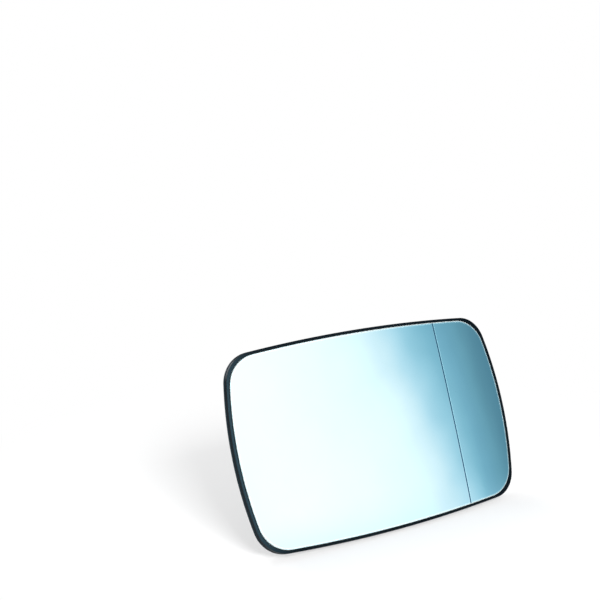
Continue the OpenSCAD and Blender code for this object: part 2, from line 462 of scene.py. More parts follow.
def spread(tree, pattern, low=0.0, high=1.0):
    # a noise pattern spread over low to high
    return remap(tree, pattern, *patternRange, low, high)


def smoothStep(tree, value, low, high):
    return addNode(tree, "ShaderNodeMapRange", {
        "From Min": low, "From Max": high, "Value": value},
        interpolation_type="SMOOTHSTEP").outputs["Result"]


def mixColours(tree, factor, first, second):
    first, second = [(*c, 1) if isinstance(c, tuple) else c for c in (first, second)]
    return addNode(tree, "ShaderNodeMix", {"Factor": factor, "A": first, "B": second},
                   data_type="RGBA").outputs["Result"]


def bump(tree, height, strength, distance):
    return addNode(tree, "ShaderNodeBump", {
        "Strength": strength, "Distance": distance * mm,
        "Height": height}).outputs["Normal"]


mirrorLook = {
    "tint": (0.412, 0.752, 0.925),
    "hazeTint": (0.428, 0.768, 0.935),
    "hazeScale": 26.0,
    "rough": (0.018, 0.045),
}


def blueMirror():
    # silvered glass with a blue tint: faint wiping haze, hardly any texture
    look = mirrorLook
    material, tree, shader = startMaterial("blueMirror")
    haze = noise(tree, look["hazeScale"], 4.0, 0.6)
    setInputs(tree, shader, {
        "Base Color": mixColours(tree, spread(tree, haze), look["tint"], look["hazeTint"]),
        "Roughness": remap(tree, haze, 0.35, 0.75, *look["rough"]),
        "Metallic": 1.0})
    return material


seamLook = {
    "dull": (0.50, 0.60, 0.60),
    "pale": (0.74, 0.82, 0.82),
    "shaded": (0.020, 0.055, 0.080),
    "shadedFacing": (-0.78, -0.92),  # the left seam's outermost facet
    "grainScale": 2600.0,
    "rough": (0.22, 0.42),
}


def groundGlass():
    # the seamed edge: fine, pale, a little green, and dark where the lip shades it
    look = seamLook
    material, tree, shader = startMaterial("groundGlass")
    grain = noise(tree, look["grainScale"], 2.0)
    shade = mixColours(tree, spread(tree, grain), look["dull"], look["pale"])
    leftward = smoothStep(tree, normalParts(tree)[0], *look["shadedFacing"])
    setInputs(tree, shader, {
        "Base Color": mixColours(tree, leftward, shade, look["shaded"]),
        "Roughness": spread(tree, grain, *look["rough"]),
        "Normal": bump(tree, grain, 0.25, 0.02)})
    return material


lineLook = {
    "core": ((0.004, 0.085, 0.175), (0.010, 0.105, 0.205)),
    "leftEdge": (0.53, 0.81, 0.96),
    "rightEdge": (0.46, 0.82, 0.97),
    "rightSilver": 0.8,
    "grainScale": 1800.0,
    "blur": 0.02,  # half the width over which the core turns into an edge
    "rough": (0.30, 0.08),  # of the core and of its edges
}


def etchedLine():
    # the silvering is taken off along the line, so it reads dark; its edges catch light
    look = lineLook
    material, tree, shader = startMaterial("etchedLine")
    x = placeParts(tree)[0]
    off = calc(tree, "SUBTRACT", x, glass["zoneStart"] * mm)
    half, blur = glass["lineWidth"] / 2 * mm, look["blur"] * mm
    edge = remap(tree, calc(tree, "ABSOLUTE", off), half - blur, half + blur, 0.0, 1.0)
    right = calc(tree, "GREATER_THAN", off, 0.0)
    grain = noise(tree, look["grainScale"], 2.0)
    core = mixColours(tree, spread(tree, grain), *look["core"])
    edges = mixColours(tree, right, look["leftEdge"], look["rightEdge"])
    frost = calc(tree, "MULTIPLY", edge, right)
    setInputs(tree, shader, {
        "Base Color": mixColours(tree, edge, core, edges),
        "Roughness": remap(tree, edge, 0.0, 1.0, *look["rough"]),
        "Metallic": remap(tree, frost, 0.0, 1.0, 1.0, look["rightSilver"])})
    return material


lipLook = {
    "dark": (0.001, 0.003, 0.005),
    "light": (0.0025, 0.0055, 0.008),
    "gloss": 0.10,
    "glossTint": (0.50, 0.80, 1.0),
    "grain": 0.08,
    "rough": (0.24, 0.32),
    # painted highlight: a paler colour that stands in for light on the lip's crest at the
    # left end
    "paintedHighlight": (0.020, 0.040, 0.052),
    "paintedHighlightFrom": (-60.0, -86.0),  # x, where the painted highlight starts and is full
}
plateLook = {
    "dark": (0.010, 0.012, 0.014),
    "light": (0.016, 0.018, 0.020),
    "gloss": 0.4,
    "glossTint": (0.9, 0.96, 1.0),
    "grain": 0.22,
    "rough": (0.40, 0.52),
}
plasticDust = (0.06, 0.066, 0.07)


def lipPaintedHighlight(tree, shade, look):
    # the lip's crest is painted paler towards the left end where it faces the front, a
    # painted highlight for the light that falls on it; its wall and the side towards the
    # glass stay dark
    facingX, facingY = normalParts(tree)[:2]
    x = placeParts(tree)[0]
    front = smoothStep(tree, facingY, -0.35, -0.95)
    crest = smoothStep(tree, facingX, 0.34, 0.08)
    end = smoothStep(tree, x, *[limit * mm for limit in look["paintedHighlightFrom"]])
    amount = calc(tree, "MULTIPLY", calc(tree, "MULTIPLY", front, crest), end)
    return mixColours(tree, amount, shade, look["paintedHighlight"])


def blackPlastic(name, look):
    # moulded black plastic: spark-eroded grain, slow sheen changes, pale dust
    material, tree, shader = startMaterial(name)
    flow = noise(tree, 18.0, 3.0)
    grain = noise(tree, 1500.0, 2.0)
    dust = noise(tree, 90.0, 5.0, 0.65)
    shade = mixColours(tree, spread(tree, flow), look["dark"], look["light"])
    shade = mixColours(tree, remap(tree, dust, 0.62, 0.9, 0.0, 0.22), shade, plasticDust)
    # a painted highlight on the lip's crest, not wear
    if "paintedHighlight" in look:
        shade = lipPaintedHighlight(tree, shade, look)
    setInputs(tree, shader, {
        "Base Color": shade,
        "Roughness": spread(tree, flow, *look["rough"]),
        "Normal": bump(tree, grain, look["grain"], 0.05),
        "Specular IOR Level": look["gloss"],
        "Specular Tint": (*look["glossTint"], 1)})
    return material


filmLook = {
    "film": ((0.16, 0.075, 0.022), (0.22, 0.11, 0.035)),
    "track": (0.42, 0.41, 0.39),
    "trackWave": 2600.0,  # radians per metre of height
    "rough": (0.28, 0.5),
}


def heaterFilm():
    # dark film with pale printed tracks that run across
    look = filmLook
    material, tree, shader = startMaterial("heaterFilm")
    height = placeParts(tree)[2]
    wave = calc(tree, "SINE", calc(tree, "MULTIPLY", height, look["trackWave"]))
    track = remap(tree, wave, 0.1, 0.35, 0.0, 1.0)
    film = mixColours(tree, spread(tree, noise(tree, 900.0, 2.0)), *look["film"])
    setInputs(tree, shader, {
        "Base Color": mixColours(tree, track, film, look["track"]),
        "Roughness": remap(tree, track, 0.0, 1.0, *look["rough"]),
        "Normal": bump(tree, track, 0.4, 0.03)})
    return material


# where the silvering thins, the ground glass in front of it catches more light
bandLook = {
    "tones": ((0.55, 0.84, 0.97), (0.583, 0.8904, 1.0)),
    "cloud": (1200.0, 2.0),  # scale and detail
    "rough": (0.05, 0.11),
    "metal": 0.80,
    "dents": 0.0,
}
bladeLook = {
    "tones": ((0.66, 0.62, 0.53), (0.78, 0.75, 0.67)),
    "cloud": (420.0, 4.0),
    "rough": (0.24, 0.38),
    "metal": 1.0,
    "dents": 0.12,
}
rivetLook = {**bladeLook, "tones": ((0.55, 0.54, 0.52), (0.68, 0.67, 0.65)),
             "rough": (0.22, 0.34)}


def cloudedMetal(name, look):
    # metal in two tones that run into each other
    material, tree, shader = startMaterial(name)
    cloud = noise(tree, *look["cloud"])
    setInputs(tree, shader, {
        "Base Color": mixColours(tree, spread(tree, cloud), *look["tones"]),
        "Roughness": spread(tree, cloud, *look["rough"]),
        "Metallic": look["metal"]})
    if look["dents"]:
        setInputs(tree, shader, {"Normal": bump(tree, cloud, look["dents"], 0.02)})
    return material


mirrorFinish = blueMirror()
edgeFinish = groundGlass()
bandFinish = cloudedMetal("thinSilver", bandLook)
lineFinish = etchedLine()
lipFinish = blackPlastic("lipPlastic", lipLook)
plateFinish = blackPlastic("platePlastic", plateLook)
filmFinish = heaterFilm()
bladeFinish = cloudedMetal("tinnedBrass", bladeLook)
rivetFinish = cloudedMetal("platedRivet", rivetLook)
print("materials made")

layTree = curvedTree("layOnGlass")
paneTree = curvedTree("mirrorPane", (("groundEdge", "Edge Material"),
                                     ("edgeBand", "Band Material")))
shellTree = curvedTree("carrierShell", (("rearFace", "Rear Material"),))
ribsTree = ribTree()
spotsTree = copiesTree("plateSpots", True)
hubTree = copiesTree("hubCopies", False)


def ridesOn(piece, node):
    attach(piece, "root")
    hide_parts(node)


def plasticPiece(piece, tree, values=None):
    # a piece of the carrier plate, shaped by one of the trees
    applyTree(piece, tree, {"Material": plateFinish, **(values or {})})
    ridesOn(piece, "carrier_plate")


def markFaces(piece, name, test):
    # marks the faces that pass a test of their number and the heights of their corners
    mesh = piece.data
    mark = mesh.attributes.new(name, "BOOLEAN", "FACE")
    for face in mesh.polygons:
        heights = [mesh.vertices[v].co.z for v in face.vertices]
        mark.data[face.index].value = test(face.index, heights)


def makePane():
    # the polished face, the band where the silvering thins, the ground edge, the back
    seam, thick, band = glass["seam"], glass["thick"], glass["edgeBand"]
    face = list(reversed(shrunkRings(-band, 0.0, glass["faceRings"])))
    bandSpans = (len(face), len(face) + 1)
    face += [glassRing(-band, 0.0), glassRing(-seam - glass["seamLap"], 0.0)]
    back = [glassRing(-0.35, thick)] + shrunkRings(-0.3, thick, glass["backRings"])
    edge = [glassRing(-seam, 0.0), glassRing(-0.26, 0.06), glassRing(-0.1, 0.2),
            glassRing(0.0, 0.42), glassRing(0.0, thick - 0.35),
            glassRing(-0.12, thick - 0.12), glassRing(-0.3, thick)]
    pane = skinRings("mirrorPane", face + edge + back, sharp=None)
    low = (glass["faceHeight"] - 0.02) * mm
    count = len(edge[0])
    markFaces(pane, "groundEdge", lambda index, heights: min(heights) < low)
    markFaces(pane, "edgeBand", lambda index, heights: index // count in bandSpans)
    applyTree(pane, paneTree, {"Material": mirrorFinish, "Edge Material": edgeFinish,
                               "Band Material": bandFinish}, 30.0)
    ridesOn(pane, "mirror_glass")


def makeLine():
    # the etched line, a hair proud of the face so that it always shows
    x, half = glass["zoneStart"], glass["lineWidth"] / 2
    left, right = x - half - glass["lineEdge"][0], x + half + glass["lineEdge"][1]
    top = glass["faceHeight"] + glass["lineProud"]
    low = glass["faceHeight"] - glass["lineDeep"]
    reach = halfHeight(x) - glass["seam"] - glass["seamLap"]
    rows = glass["lineRows"]
    points = []
    for i in range(rows + 1):
        y = reach - 2 * reach * i / rows
        points += [(left, y, top), (right, y, top), (right, y, low), (left, y, low)]
    line = newPiece("dividingLine", points, wallFaces(rows + 1, 4) + endFaces(rows + 1, 4))
    applyTree(line, layTree, {"Material": lineFinish})
    ridesOn(line, "mirror_glass")


def makeCarrierShell(windows):
    # tray, pocket, lip, wall with its flange, and the back with two windows cut out
    c = carrier
    tray = list(reversed(shrunkRings(-c["trayIn"], c["foilDepth"], c["trayRings"])))
    pocket = [glassRing(-c["trayIn"], c["foilDepth"]),
              glassRing(-c["trayIn"], c["trayDepth"] + 0.02),
              glassRing(c["edgeGap"] - 0.02, c["trayDepth"]),
              glassRing(c["edgeGap"], c["trayDepth"] - 0.05)]
    inner, outer = glassRing(c["edgeGap"], c["lipBack"]), lipRing(0.0, c["lipBack"])
    lip = [[(a[0] + (b[0] - a[0]) * share, a[1] + (b[1] - a[1]) * share, a[2] - fall)
            for a, b in zip(inner, outer)] for share, fall in c["lipCrown"]]
    out, start, stop, back = c["flangeOut"], c["flangeFrom"], c["flangeTo"], c["back"]
    wall = [lipRing(*p) for p in (
        (0.0, start - 0.18), (0.03, start - 0.06), (0.12, start), (out - 0.1, start + 0.02),
        (out - 0.02, start + 0.08), (out, start + 0.18), (out, stop - 0.18),
        (out - 0.05, stop - 0.05), (out - 0.16, stop))]
    rear = [glassRing(*p) for p in (
        (0.6, stop), (0.45, stop + 0.06), (0.4, stop + 0.2), (0.4, back - 0.3),
        (0.32, back - 0.1), (0.1, back), (-1.2, back))]
    rear += shrunkRings(-1.2, back, c["backRings"])
    shell = skinRings("carrierShell", tray + pocket + lip + wall + rear)
    cutter = skinBoxes("windowCutters", windows, -5.0, 14.0)
    cutAway(shell, cutter)
    applyModifiers(shell)
    dropPiece(cutter)
    level = (glass["faceHeight"] - stop + 0.05) * mm
    markFaces(shell, "rearFace", lambda index, heights: max(heights) < level)
    applyTree(shell, shellTree, {"Material": lipFinish, "Rear Material": plateFinish}, 28.0)
    ridesOn(shell, "carrier_plate")


def skinBoxes(name, boxes, low, high):
    points, faces = [], []
    for x0, y0, x1, y1 in boxes:
        n = len(points)
        points += [(x, y, z) for z in (low, high) for x, y in
                   ((x0, y0), (x1, y0), (x1, y1), (x0, y1))]
        faces += [tuple(n + k for k in face) for face in wallFaces(2, 4) + endFaces(2, 4)]
    return newPiece(name, points, faces)


def makeEdgeRib():
    c = carrier
    outer, inner = -c["edgeRibIn"], -c["edgeRibIn"] - c["ribThick"]
    back, top = c["back"], c["back"] + c["ribHeight"]
    section = [(outer + 0.5, back - 0.1), (outer + 0.18, back + 0.12),
               (outer + 0.02, back + 0.5), (outer, top - 0.3),
               (outer - 0.09, top - 0.09), (outer - 0.3, top),
               (inner + 0.3, top), (inner + 0.09, top - 0.09), (inner, top - 0.3),
               (inner - 0.02, back + 0.5), (inner - 0.18, back + 0.12),
               (inner - 0.5, back - 0.1)]
    rib = skinRings("edgeRib", [glassRing(*p) for p in section], True)
    plasticPiece(rib, layTree)


def outlineReach(angle, grow):
    # how far the outline lies from the middle in one direction
    aim = Vector((math.cos(angle), math.sin(angle)))
    ring = [Vector(p[:2]) for p in glassRing(grow, 0)]
    best = 0.0
    for a, b in zip(ring, ring[1:] + ring[:1]):
        side, other = aim.cross(a), aim.cross(b)
        if side * other <= 0 and side != other and aim.dot(a) > 0:
            best = max(best, aim.dot(a + (b - a) * side / (side - other)))
    return best


hub = {
    "bore": 21.0,
    "wall": 2.0,
    "length": 8.0,
    "fingerInside": 27.0,
    "fingerThick": 1.6,
    "fingerAngle": 26.0,
    "fingerTurns": (0, 90, 180, 270),
    "hookOut": 1.2,
    "padAt": 39.0,
    "padRadius": 3.6,
    "padUp": 2.0,
    "padTurns": (38, 142, 218, 322),
    "padWeb": (0.7, 6.5, 3.5),  # half its thickness, half its length, and where it starts
    "ribTurns": (0, 38, 142, 180, 218, 322, 90, 270),
    "crossRibs": (-56.0, 56.0),
}
terminals = {
    "x": 17.0,
    "y": -40.0,
    "apart": 20.0,
    "bladeWide": 6.3,
    "bladeThick": 0.8,
    "bladeLong": 8.5,
    "bladeBend": 0.5,  # inner radius of the bend
    "bladeHole": 0.9,
    "bladeOut": 3.0,  # how far the upright stands from the window's middle
    "windowHalfWide": 5.0,
    "windowHalfTall": 5.5,
    "frameWall": 1.4,
    "sides": ((-1, "Left", "left"), (1, "Right", "right")),
}


def terminalX(side):
    return terminals["x"] + side * terminals["apart"] / 2


def windowBoxes(grow):
    t = terminals
    wide, tall = t["windowHalfWide"] + grow, t["windowHalfTall"] + grow
    return [(x - wide, t["y"] - tall, x + wide, t["y"] + tall)
            for x in (terminalX(-1), terminalX(1))]


def splitByBoxes(line, boxes):
    # drops the stretches of a straight rib that would cross a window
    (x0, y0), (x1, y1) = line
    steps = 200
    runs, run = [], []
    for i in range(steps + 1):
        x, y = x0 + (x1 - x0) * i / steps, y0 + (y1 - y0) * i / steps
        if all(not (a < x < c and b < y < d) for a, b, c, d in boxes):
            run.append((x, y))
        elif run:
            runs.append(run)
            run = []
    if run:
        runs.append(run)
    return [(run[0], run[-1]) for run in runs if len(run) > 4]


def makeRibs():
    c = carrier
    lines = []
    start = hub["bore"] + hub["wall"] - 0.5
    for turn in hub["ribTurns"]:
        t = math.radians(turn)
        stop = outlineReach(t, -c["edgeRibIn"] - c["ribThick"] + 0.5)
        lines.append(((start * math.cos(t), start * math.sin(t)),
                      (stop * math.cos(t), stop * math.sin(t))))
    for x in hub["crossRibs"]:
        reach = halfHeight(x) - c["edgeRibIn"] - 1.0
        lines.append(((x, -reach), (x, reach)))
    height = glass["faceHeight"] - c["back"] - (c["ribHeight"] - c["ribSunk"]) / 2
    points, edges = [], []
    for line in lines:
        for a, b in splitByBoxes(line, windowBoxes(c["ribClear"])):
            edges.append((len(points), len(points) + 1))
            points += [(*a, height), (*b, height)]
    ribs = plainObject("plateRibs", points, edges, [])
    plasticPiece(ribs, ribsTree, {"Rib Thickness": c["ribThick"] * mm})


def lathe(name, profile, turnFrom=0, turnTo=360, steps=48):
    # turns a closed profile of (radius, z) about the bench's z axis
    full = abs(turnTo - turnFrom) >= 359.9
    stations = steps if full else steps + 1
    points = []
    for s in range(stations):
        t = math.radians(turnFrom + (turnTo - turnFrom) * s / steps)
        points += [(r * math.cos(t), r * math.sin(t), z) for r, z in profile]
    faces = wallFaces(stations, len(profile), full)
    if not full:
        faces += endFaces(stations, len(profile))
    return newPiece(name, points, faces)


def shift(piece, x, y, z):
    piece.data.transform(Matrix.Translation((x * mm, y * mm, z * mm)))


def standUp(piece):
    piece.data.transform(Matrix.Rotation(math.pi / 2, 4, "X"))
    return piece


def giveMaterial(piece, material):
    piece.data.materials.clear()
    piece.data.materials.append(material)


def cutAway(piece, cutter):
    cut = piece.modifiers.new("cut", "BOOLEAN")
    cut.operation, cut.solver, cut.object = "DIFFERENCE", "EXACT", cutter


def softEdges(piece, width, angle=sharpFrom):
    soften = piece.modifiers.new("soft", "BEVEL")
    soften.width = width * mm
    soften.segments = 2
    soften.limit_method = "ANGLE"
    soften.angle_limit = math.radians(angle)
    soften.harden_normals = False
    applyModifiers(piece)


def makeHub():
    inside, outside, long = hub["bore"], hub["bore"] + hub["wall"], hub["length"]
    foot = long + 0.6
    profile = [(inside + 0.25, 0.0), (outside - 0.25, 0.0), (outside - 0.07, 0.07),
               (outside, 0.25), (outside, long - 0.8), (outside + 0.12, long - 0.35),
               (outside + 0.6, long + 0.1), (outside + 0.9, foot), (inside - 0.2, foot),
               (inside, long + 0.1), (inside, 0.3), (inside + 0.08, 0.08)]
    ring = lathe("hubRing", profile, steps=144)
    giveMaterial(standUp(ring), plateFinish)
    ridesOn(ring, "carrier_plate")


def turnPoints(name, turns):
    # a point for each copy, which holds the angle it is turned by
    piece = plainObject(name, [(0, 0, 0)] * len(turns), [], [])
    angle = piece.data.attributes.new("turn", "FLOAT", "POINT")
    for item, turn in zip(angle.data, turns):
        item.value = math.radians(turn)
    return piece


def makeFingers():
    inside, outside = hub["fingerInside"], hub["fingerInside"] + hub["fingerThick"]
    long, hook = hub["length"], outside + hub["hookOut"]
    profile = [(inside, long + 0.6), (outside + 0.5, long + 0.6),
               (outside + 0.12, long - 0.7), (outside, long - 1.6), (outside, 2.2),
               (hook - 0.1, 1.65), (hook, 1.5), (hook, 1.0), (hook - 0.15, 0.75),
               (outside - 0.1, -0.85), (outside - 0.3, -1.0), (inside + 0.4, -1.0),
               (inside + 0.1, -0.8), (inside, -0.5)]
    half = hub["fingerAngle"] / 2
    finger = lathe("oneFinger", profile, -half, half, 20)
    softEdges(finger, 0.15)
    fingers = turnPoints("snapFingers", hub["fingerTurns"])
    plasticPiece(fingers, hubTree, {"Piece": finger})
    dropPiece(finger)


def makePads():
    # round pads, each with a web across it
    foot, radius, top = hub["length"] + 0.8, hub["padRadius"], -hub["padUp"]
    profile = [(0.001, top), (radius - 0.35, top), (radius - 0.1, top + 0.1),
               (radius, top + 0.35), (radius, foot - 1.2), (radius + 0.15, foot - 0.6),
               (radius + 0.6, foot - 0.1), (radius + 0.6, foot), (0.001, foot)]
    pad = lathe("onePad", profile)
    shift(pad, hub["padAt"], 0, 0)
    thick, half, low = hub["padWeb"]
    web = skinBoxes("onePadWeb", [(hub["padAt"] - thick, -half,
                                   hub["padAt"] + thick, half)], low, foot)
    softEdges(web, 0.25)
    work = bmesh.new()
    work.from_mesh(pad.data)
    work.from_mesh(web.data)
    work.to_mesh(pad.data)
    work.free()
    dropPiece(web)
    pads = turnPoints("seatPads", hub["padTurns"])
    plasticPiece(pads, hubTree, {"Piece": pad})
    dropPiece(pad)


def roundedBox(box, radius, steps=5):
    x0, y0, x1, y1 = box
    ring = []
    for cx, cy, start in ((x1 - radius, y1 - radius, 0), (x0 + radius, y1 - radius, 90),
                          (x0 + radius, y0 + radius, 180), (x1 - radius, y0 + radius, 270)):
        for i in range(steps + 1):
            t = math.radians(start + 90 * i / steps)
            ring.append((cx + radius * math.cos(t), cy + radius * math.sin(t)))
    return ring


def makeWindowFrames():
    wall = terminals["frameWall"]
    level = glass["faceHeight"] - carrier["back"]
    top = level - carrier["ribHeight"] - 1.0
    section = [(wall + 0.4, level + 0.1), (wall + 0.12, level - 0.15),
               (wall, level - 0.5), (wall, top + 0.25), (wall - 0.08, top + 0.08),
               (wall - 0.25, top), (0.25, top), (0.08, top + 0.08), (0.0, top + 0.25),
               (0.0, level + 0.1)]
    for number, (x0, y0, x1, y1) in enumerate(windowBoxes(0.0)):
        rings = []
        for grow, z in section:
            ring = roundedBox((x0 - grow, y0 - grow, x1 + grow, y1 + grow), 0.5 + grow * 0.8)
            rings.append([(x, y, z) for x, y in ring])
        frameRing = skinRings("windowFrame%d" % (number + 1), rings, True)
        plasticPiece(frameRing, layTree)


ejectors = {
    "places": ((70, 22), (39, 38.2)),  # x and y, on all four sides of the middle
    # half the section of one mark: radius, and height over the plate's back
    "section": ((0.001, -0.03), (1.85, -0.03), (2.0, 0.02), (2.12, -0.06), (2.25, -0.07),
                (2.4, 0.0), (2.4, 0.2), (0.001, 0.2)),
}


def makeEjectorMarks():
    level = glass["faceHeight"] - carrier["back"]
    spot = lathe("oneMark", ejectors["section"], steps=32)
    places = [(sx * x, sy * y, level) for x, y in ejectors["places"]
              for sx in (-1, 1) for sy in (-1, 1)]
    marks = plainObject("ejectorMarks", places, [], [])
    plasticPiece(marks, spotsTree, {"Piece": spot})
    dropPiece(spot)


def footTop(x):
    # level of a blade's foot, just clear of the foil
    t = terminals
    return (glass["faceHeight"] - carrier["foilDepth"]
            - drop(abs(x) + t["bladeWide"] / 2, t["y"] - 5))


def makeBlades():
    t = terminals
    thick, half, bend = t["bladeThick"], t["bladeWide"] / 2, t["bladeBend"]
    middle, upright = bend + thick / 2, t["bladeOut"] - thick / 2
    # stations along the middle of the strip: y, z, half width, half thickness, lean
    stations = [(-5.0, 0.0, half - 0.6, thick / 2, 0), (-4.8, 0.0, half - 0.2, thick / 2, 0),
                (-4.4, 0.0, half, thick / 2, 0)]
    for lean in (0, 15, 30, 45, 60, 75, 90):
        turn = math.radians(lean)
        stations.append((t["bladeOut"] - thick - bend + middle * math.sin(turn),
                         -middle + middle * math.cos(turn), half, thick / 2, lean))
    end = -t["bladeLong"] + thick / 2
    stations += [(upright, end + 1.3, half, thick / 2, 90),
                 (upright, end + 0.5, half - 0.7, thick / 2 - 0.08, 90),
                 (upright, end, half - 1.1, thick / 2 - 0.2, 90)]
    faces = wallFaces(len(stations), 4) + endFaces(len(stations), 4)
    for side, title, node in t["sides"]:
        x = terminalX(side)
        top = footTop(x)
        points = []
        for y, z, wide, thin, lean in stations:
            turn = math.radians(lean)
            ny, nz = math.sin(turn), math.cos(turn)
            for sx, sn in ((-1, 1), (1, 1), (1, -1), (-1, -1)):
                points.append((x + sx * wide, t["y"] + y + sn * ny * thin,
                               top - thick / 2 + z + sn * nz * thin))
        blade = newPiece("blade" + title, points, faces)
        radius = t["bladeHole"]
        hole = lathe("bladeHole", [(0.001, -3), (radius, -3), (radius, 3), (0.001, 3)],
                     steps=32)
        shift(standUp(hole), x, t["y"] + t["bladeOut"], top - t["bladeLong"] + 3)
        cutAway(blade, hole)
        softEdges(blade, 0.08, 50)
        dropPiece(hole)
        giveMaterial(standUp(blade), bladeFinish)
        ridesOn(blade, "blade_" + node)


def makeRivets():
    t = terminals
    for side, title, node in t["sides"]:
        x = terminalX(side)
        top = footTop(x) - t["bladeThick"]
        profile = [(0.001, top - 0.5), (0.55, top - 0.5), (0.75, top - 0.66),
                   (1.1, top - 0.7), (1.6, top - 0.62), (1.95, top - 0.4),
                   (2.08, top - 0.12), (2.08, top), (1.2, top), (1.2, top + 1.2),
                   (0.001, top + 1.2)]
        rivet = lathe("rivet" + title, profile)
        shift(rivet, x, t["y"] - 2, 0)
        giveMaterial(standUp(rivet), rivetFinish)
        ridesOn(rivet, "rivet_" + node)


makePane()
makeLine()
print("glass made")
makeCarrierShell(windowBoxes(0.0))
makeEdgeRib()
makeRibs()
makeWindowFrames()
makeEjectorMarks()
print("plate made")
makeHub()
makeFingers()
makePads()
print("hub made")
makeBlades()
makeRivets()
giveMaterial(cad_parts["heater_foil"], filmFinish)
print("terminals made")


# The camera stands where the photograph was taken from, on the left and almost level

shot = {
    "azimuth": -32.82,
    "elevation": 0.51,
    "roll": -11.95,
    "distance": 864.0,
    "focalPixels": 1631.0,
    "picturePixels": 600.0,
    "facePixel": (379.05, 428.5),  # where the middle of the face lies in the picture
    "sensor": 36.0,
    "clip": (0.01, 20.0),
}


def makeCamera():
    azimuth, elevation = math.radians(shot["azimuth"]), math.radians(shot["elevation"])
    back = Vector((math.sin(azimuth) * math.cos(elevation),
                   -math.cos(azimuth) * math.cos(elevation), math.sin(elevation)))
    right = (-back).cross(Vector((0, 0, 1))).normalized()
    up = right.cross(-back)
    roll = Matrix.Rotation(math.radians(shot["roll"]), 3, "Z")
    half, focal = shot["picturePixels"] / 2, shot["focalPixels"]
    aim = Vector(((shot["facePixel"][0] - half) / focal,
                  (half - shot["facePixel"][1]) / focal, -1)).normalized()
    swing = aim.rotation_difference(Vector((0, 0, -1))).to_matrix()
    turn = Matrix((right, up, back)).transposed() @ roll @ swing
    data = bpy.data.cameras.new("shotCamera")
    data.sensor_width = shot["sensor"]
    data.lens = focal * shot["sensor"] / shot["picturePixels"]
    data.clip_start, data.clip_end = shot["clip"]
    camera = addToScene("shotCamera", data)
    place = Vector((0, -glass["faceHeight"] * mm, 0)) + back * shot["distance"] * mm
    camera.matrix_world = Matrix.Translation(place) @ turn.to_4x4()
    bpy.context.scene.camera = camera


makeCamera()
print("camera set")


# What stands round the part: the table, the light tent, the sky and the lamps

def mixShaders(tree, factor, first, second):
    return addNode(tree, "ShaderNodeMixShader", {0: factor, 1: first, 2: second}).outputs[0]


def stageMaterial(mesh, name):
    material = bpy.data.materials.new(name)
    material.use_nodes = True
    material.node_tree.nodes.clear()
    mesh.materials.append(material)
    return material.node_tree


def seenRays(tree):
    # 1 for what the camera sees, straight, mirrored or through glass
    path = addNode(tree, "ShaderNodeLightPath").outputs
    seen = calc(tree, "MAXIMUM", path["Is Camera Ray"], path["Is Glossy Ray"])
    return calc(tree, "MAXIMUM", seen, path["Is Transmission Ray"])


# A pale table top under the bottom edge. The part leans back on it, as photographed.

table = {
    "lean": 24.7,  # how far the part leans back from upright
    "sideways": -1.0,
    "gap": 0.05,  # between the table and the part's lowest point
    "size": 3.0,
    "behind": 0.9,
    "glow": 0.42,
    "shade": 0.58,
    "bounce": 0.8,  # the grey that lights the part from below
    "plainFrom": (0.12, 0.24),  # the table turns plain white between these distances
}


def makeTable():
    lean, side = math.radians(table["lean"]), math.radians(table["sideways"])
    up = Vector((math.sin(side), -math.sin(lean), math.cos(lean))).normalized()
    lowest = min(up.dot(v.co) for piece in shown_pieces() if piece.type == "MESH"
                 for v in piece.data.vertices)
    across = Vector((1, 0, 0))
    across = (across - up * across.dot(up)).normalized() * table["size"]
    away = up.cross(across.normalized())
    near, far = away * -table["size"], away * table["behind"]
    middle = up * (lowest - table["gap"] * mm)
    corners = [middle - across + near, middle + across + near,
               middle + across + far, middle - across + far]
    mesh = bpy.data.meshes.new("tableTop")
    mesh.from_pydata([list(c) for c in corners], [], [(0, 1, 2, 3)])
    top = addToScene("tableTop", mesh)
    tree = stageMaterial(mesh, "paleTable")
    plain = addNode(tree, "ShaderNodeBsdfDiffuse", {"Color": (*[table["bounce"]] * 3, 1)})
    shaded = addNode(tree, "ShaderNodeBsdfDiffuse", {"Color": (*[table["shade"]] * 3, 1)})
    glow = addNode(tree, "ShaderNodeEmission", {"Strength": table["glow"]})
    both = addNode(tree, "ShaderNodeAddShader", {0: shaded.outputs[0], 1: glow.outputs[0]})
    white = addNode(tree, "ShaderNodeEmission")
    reach = addNode(tree, "ShaderNodeVectorMath", {0: objectCoordinates(tree)},
                    operation="LENGTH").outputs["Value"]
    faded = mixShaders(tree, smoothStep(tree, reach, *table["plainFrom"]),
                       both.outputs[0], white.outputs[0])
    seen = mixShaders(tree, seenRays(tree), plain.outputs[0], faded)
    through = addNode(tree, "ShaderNodeBsdfTransparent")
    below = addNode(tree, "ShaderNodeNewGeometry").outputs["Backfacing"]
    addNode(tree, "ShaderNodeOutputMaterial",
            {0: mixShaders(tree, below, seen, through.outputs[0])})
    top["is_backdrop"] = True


# The light tent that the glass mirrors: white on the left, fading to blue-grey

